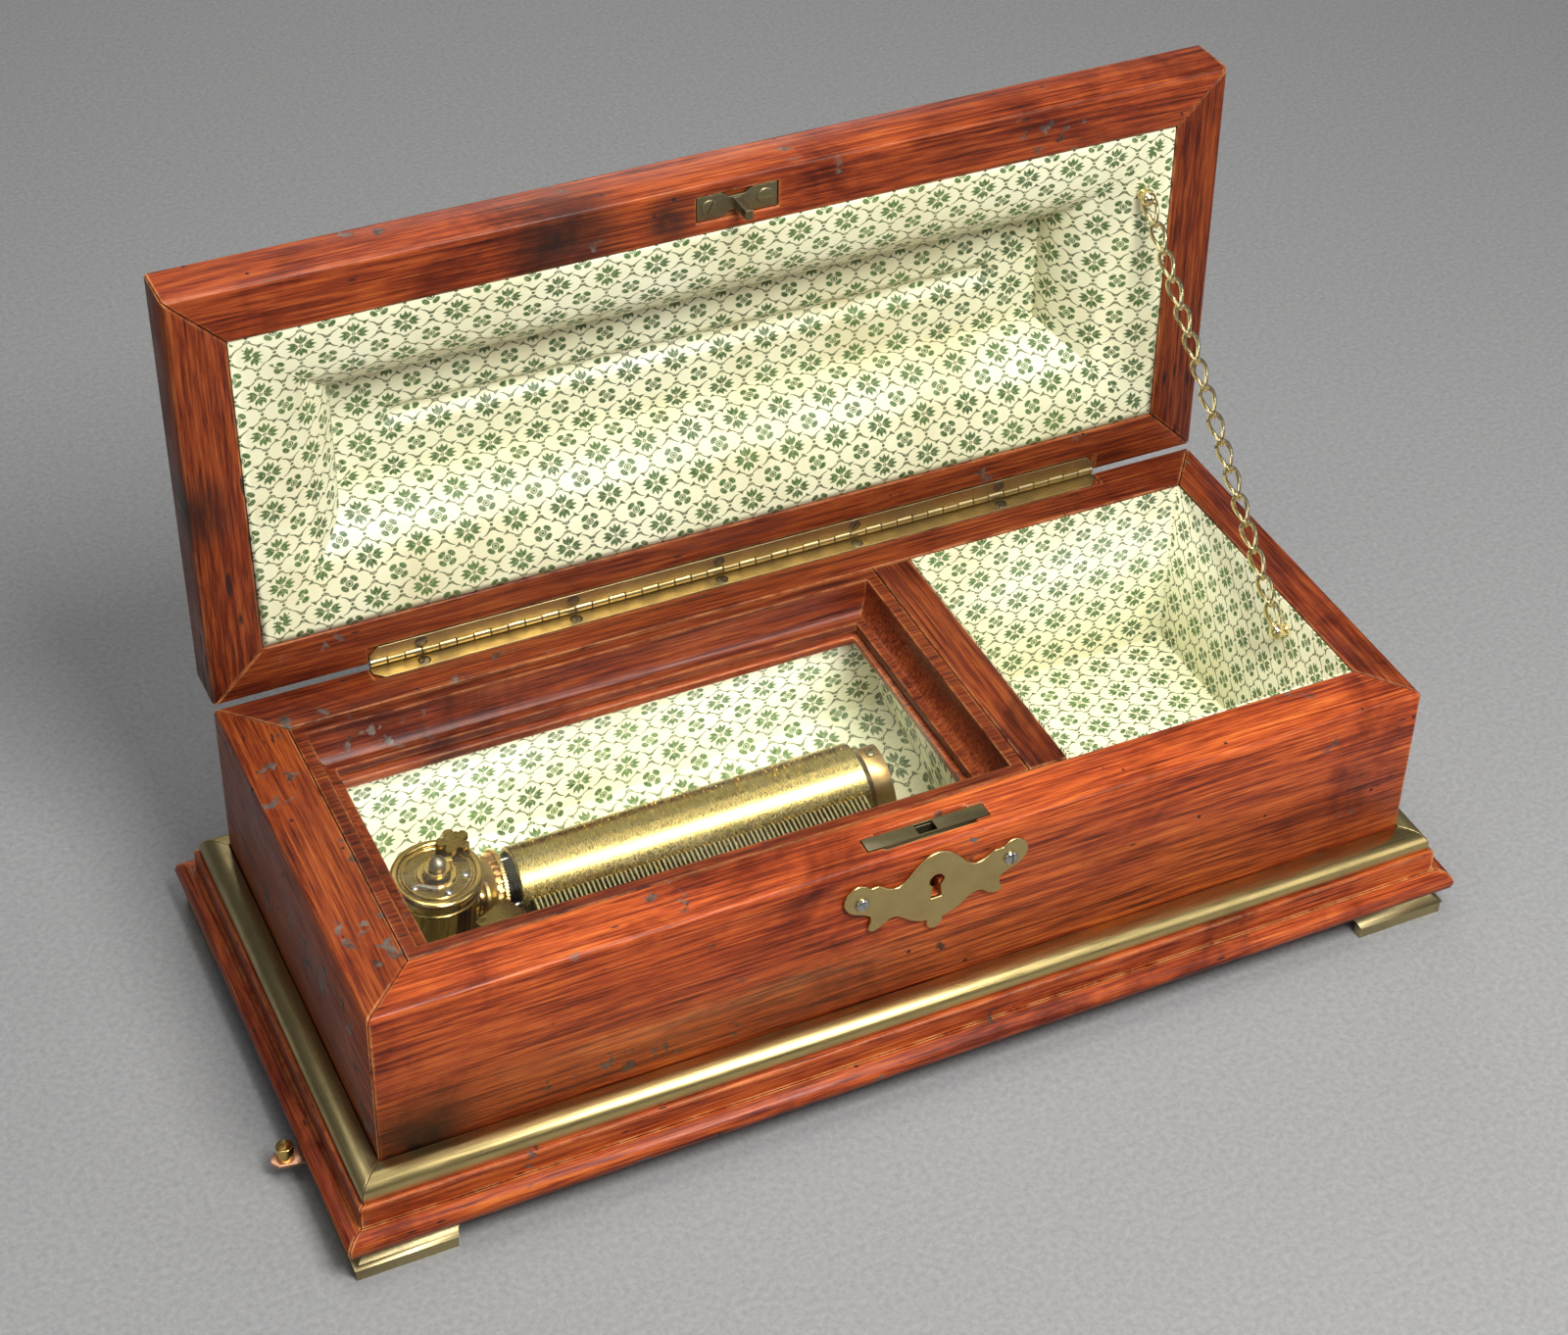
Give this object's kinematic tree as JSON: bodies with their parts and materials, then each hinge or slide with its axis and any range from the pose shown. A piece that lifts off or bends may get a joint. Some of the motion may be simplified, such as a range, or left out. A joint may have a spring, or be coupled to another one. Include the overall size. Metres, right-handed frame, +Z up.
{
  "type": "cylinder music box",
  "caption": "Mahogany cylinder music box with an open lid on a stay chain, brass-footed plinth, lock, glazed movement and side compartment.",
  "frame": {"origin": "centre of the footprint with the lid open, at the underside of the feet", "axes": "+X along the case's length towards the side compartment, +Y towards the hinge, +Z up"},
  "size_m": [0.3851, 0.1982, 0.2339],
  "materials": {
    "mahogany": "satin",
    "plain_wood": "matte",
    "brass": "satin",
    "dull_brass": "matte",
    "copper": "matte",
    "steel": "satin",
    "lining_paper": "matte",
    "glass": "polished"
  },
  "bodies": {
    "case": {"back_board": "mahogany", "base_board": "plain_wood", "bedplate": "dull_brass", "brass_moulding_back": "brass", "brass_moulding_front": "brass", "brass_moulding_left": "brass", "brass_moulding_right": "brass", "chain_case_screw": "brass", "comb": "steel", "comb_base": "dull_brass", "cylinder_bracket_left": "brass", "cylinder_bracket_right": "brass", "escutcheon": "brass", "foot_back_left": "brass", "foot_back_right": "brass", "foot_front_left": "brass", "foot_front_right": "brass", "front_board": "mahogany", "glass_pane": "glass", "glass_support_frame": "mahogany", "glazing_frame": "mahogany", "governor_cage": "brass", "hinge_case_leaf": "brass", "hinge_pin": "steel", "left_compartment_lining": "lining_paper", "left_end_board": "mahogany", "lock_body": "brass", "lock_faceplate": "brass", "partition_board": "mahogany", "plinth_back": "mahogany", "plinth_front": "mahogany", "plinth_left": "mahogany", "plinth_right": "mahogany", "right_compartment_lining": "lining_paper", "right_end_board": "mahogany"},
    "lid": {"lid_front_rail": "mahogany", "lid_back_rail": "mahogany", "lid_left_rail": "mahogany", "lid_right_rail": "mahogany", "lid_top_panel": "mahogany", "lid_lining": "lining_paper", "strike_plate": "brass", "hinge_lid_leaf": "brass", "chain_lid_screw": "brass", "lid_chain": "brass"},
    "lock_bolt": {"lock_bolt": "steel"},
    "barrel": {"spring_barrel": "brass", "barrel_cap": "brass", "mainspring": "steel", "stop_work_star": "steel"},
    "winding_arbor": {"winding_arbor": "steel"},
    "cylinder": {"pinned_cylinder": "brass", "cylinder_wheel": "brass", "cylinder_arbor": "steel"},
    "governor_wheel": {"governor_wheel": "brass"},
    "fan": {"governor_worm": "steel", "air_brake_fan": "brass"},
    "stop_lever": {"stop_lever": "copper", "stop_lever_pin": "brass", "stop_detent": "steel"}
  },
  "joints": [
    {"name": "lid_hinge", "type": "hinge", "parent": "case", "child": "lid", "pos_m": [0.00405, 0.05921, 0.0901], "axis": [1, 0, 0], "range_deg": [0, 91.8], "deforming": ["lid_chain"]},
    {"name": "lock_bolt_slide", "type": "slide", "parent": "case", "child": "lock_bolt", "axis": [1, 0, 0], "range_m": [0, 0.0055]},
    {"name": "cylinder_turn", "type": "hinge", "parent": "case", "child": "cylinder", "pos_m": [-0.05, -0.01079, 0.0511], "axis": [1, 0, 0], "continuous": true},
    {"name": "barrel_turn", "type": "hinge", "parent": "case", "child": "barrel", "pos_m": [-0.12235, -0.01079, 0.04], "axis": [0, 0, 1], "continuous": true},
    {"name": "winding_arbor_turn", "type": "hinge", "parent": "case", "child": "winding_arbor", "pos_m": [-0.12235, -0.01079, 0.04], "axis": [0, 0, 1], "continuous": true},
    {"name": "governor_wheel_turn", "type": "hinge", "parent": "case", "child": "governor_wheel", "pos_m": [-0.12235, -0.01079, 0.0443], "axis": [0.4647, -0.8855, 0], "continuous": true},
    {"name": "fan_turn", "type": "hinge", "parent": "case", "child": "fan", "pos_m": [-0.10663, -0.02558, 0.04], "axis": [0, 0, 1], "continuous": true},
    {"name": "stop_lever_turn", "type": "hinge", "parent": "case", "child": "stop_lever", "pos_m": [-0.13325, -0.05909, 0.007], "axis": [0, 0, -1], "range_deg": [0, 5]}
  ],
  "couplings": [
    {"joint": "barrel_turn", "follows": "cylinder_turn", "ratio": 0.57692},
    {"joint": "governor_wheel_turn", "follows": "cylinder_turn", "ratio": 3},
    {"joint": "fan_turn", "follows": "cylinder_turn", "ratio": 60}
  ]
}
